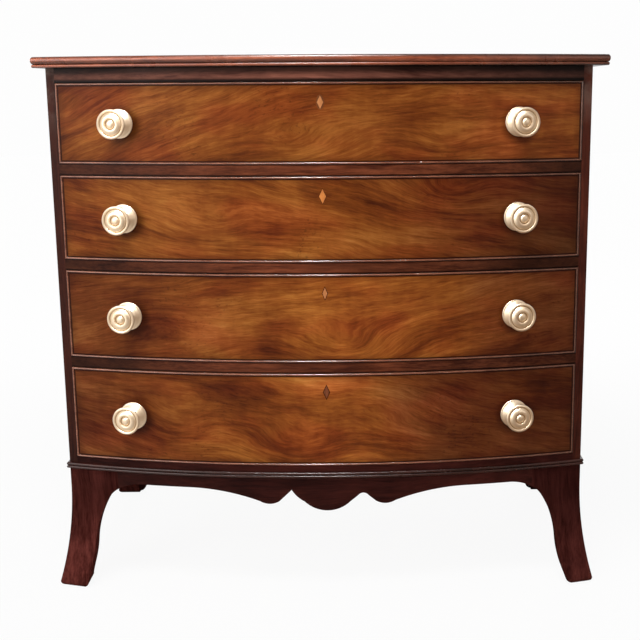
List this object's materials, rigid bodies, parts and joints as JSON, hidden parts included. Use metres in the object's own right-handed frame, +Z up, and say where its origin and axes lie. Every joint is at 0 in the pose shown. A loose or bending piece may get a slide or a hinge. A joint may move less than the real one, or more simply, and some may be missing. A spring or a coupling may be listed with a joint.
{
  "type": "bow front chest of drawers",
  "caption": "Mahogany chest with a bowed front, long drawers with turned brass knobs, a reeded top edge, a scrolled apron and splayed bracket feet.",
  "frame": {"origin": "on the floor, at the middle of the overall width and depth", "axes": "+X to the right seen from the front, +Y to the back, +Z up; the drawers open towards -Y"},
  "size_m": [0.9715, 0.584, 0.9399],
  "materials": {
    "top_mahogany": "satin",
    "dark_mahogany": "satin",
    "top_drawer_veneer": "gloss",
    "second_drawer_veneer": "gloss",
    "third_drawer_veneer": "gloss",
    "bottom_drawer_veneer": "gloss",
    "bead_mahogany": "satin",
    "boxwood": "satin",
    "knob_brass": "satin",
    "nut_brass": "satin",
    "oak_lining": "matte",
    "pine": "matte"
  },
  "bodies": {
    "carcass": {"top_board": "top_mahogany", "top_front_rail": "dark_mahogany", "upper_divider": "dark_mahogany", "middle_divider": "dark_mahogany", "lower_divider": "dark_mahogany", "left_side": "dark_mahogany", "right_side": "dark_mahogany", "base_moulding_front": "dark_mahogany", "base_moulding_left": "dark_mahogany", "base_moulding_right": "dark_mahogany", "front_apron": "dark_mahogany", "left_side_apron": "dark_mahogany", "right_side_apron": "dark_mahogany", "front_left_foot": "dark_mahogany", "front_right_foot": "dark_mahogany", "rear_left_foot": "dark_mahogany", "rear_right_foot": "dark_mahogany", "top_rear_rail": "pine", "bottom_board": "pine", "backboards": "pine", "dustboards": "pine", "drawer_runners_and_kickers": "pine", "glue_blocks": "pine", "drawer_stops": "pine"},
    "top_drawer": {"top_drawer_front": "top_drawer_veneer", "top_drawer_cock_beads": "bead_mahogany", "top_drawer_inlay": "boxwood", "top_drawer_knobs": "knob_brass", "top_drawer_knob_nuts": "nut_brass", "top_drawer_left_side": "oak_lining", "top_drawer_right_side": "oak_lining", "top_drawer_back": "oak_lining", "top_drawer_bottom": "oak_lining"},
    "second_drawer": {"second_drawer_front": "second_drawer_veneer", "second_drawer_cock_beads": "bead_mahogany", "second_drawer_inlay": "boxwood", "second_drawer_knobs": "knob_brass", "second_drawer_knob_nuts": "nut_brass", "second_drawer_left_side": "oak_lining", "second_drawer_right_side": "oak_lining", "second_drawer_back": "oak_lining", "second_drawer_bottom": "oak_lining"},
    "third_drawer": {"third_drawer_front": "third_drawer_veneer", "third_drawer_cock_beads": "bead_mahogany", "third_drawer_inlay": "boxwood", "third_drawer_knobs": "knob_brass", "third_drawer_knob_nuts": "nut_brass", "third_drawer_left_side": "oak_lining", "third_drawer_right_side": "oak_lining", "third_drawer_back": "oak_lining", "third_drawer_bottom": "oak_lining"},
    "bottom_drawer": {"bottom_drawer_front": "bottom_drawer_veneer", "bottom_drawer_cock_beads": "bead_mahogany", "bottom_drawer_inlay": "boxwood", "bottom_drawer_knobs": "knob_brass", "bottom_drawer_knob_nuts": "nut_brass", "bottom_drawer_left_side": "oak_lining", "bottom_drawer_right_side": "oak_lining", "bottom_drawer_back": "oak_lining", "bottom_drawer_bottom": "oak_lining"}
  },
  "joints": [
    {"name": "top_drawer_slide", "type": "slide", "parent": "carcass", "child": "top_drawer", "axis": [0, -1, 0], "range_m": [0, 0.3]},
    {"name": "second_drawer_slide", "type": "slide", "parent": "carcass", "child": "second_drawer", "axis": [0, -1, 0], "range_m": [0, 0.3]},
    {"name": "third_drawer_slide", "type": "slide", "parent": "carcass", "child": "third_drawer", "axis": [0, -1, 0], "range_m": [0, 0.3]},
    {"name": "bottom_drawer_slide", "type": "slide", "parent": "carcass", "child": "bottom_drawer", "axis": [0, -1, 0], "range_m": [0, 0.3]}
  ]
}
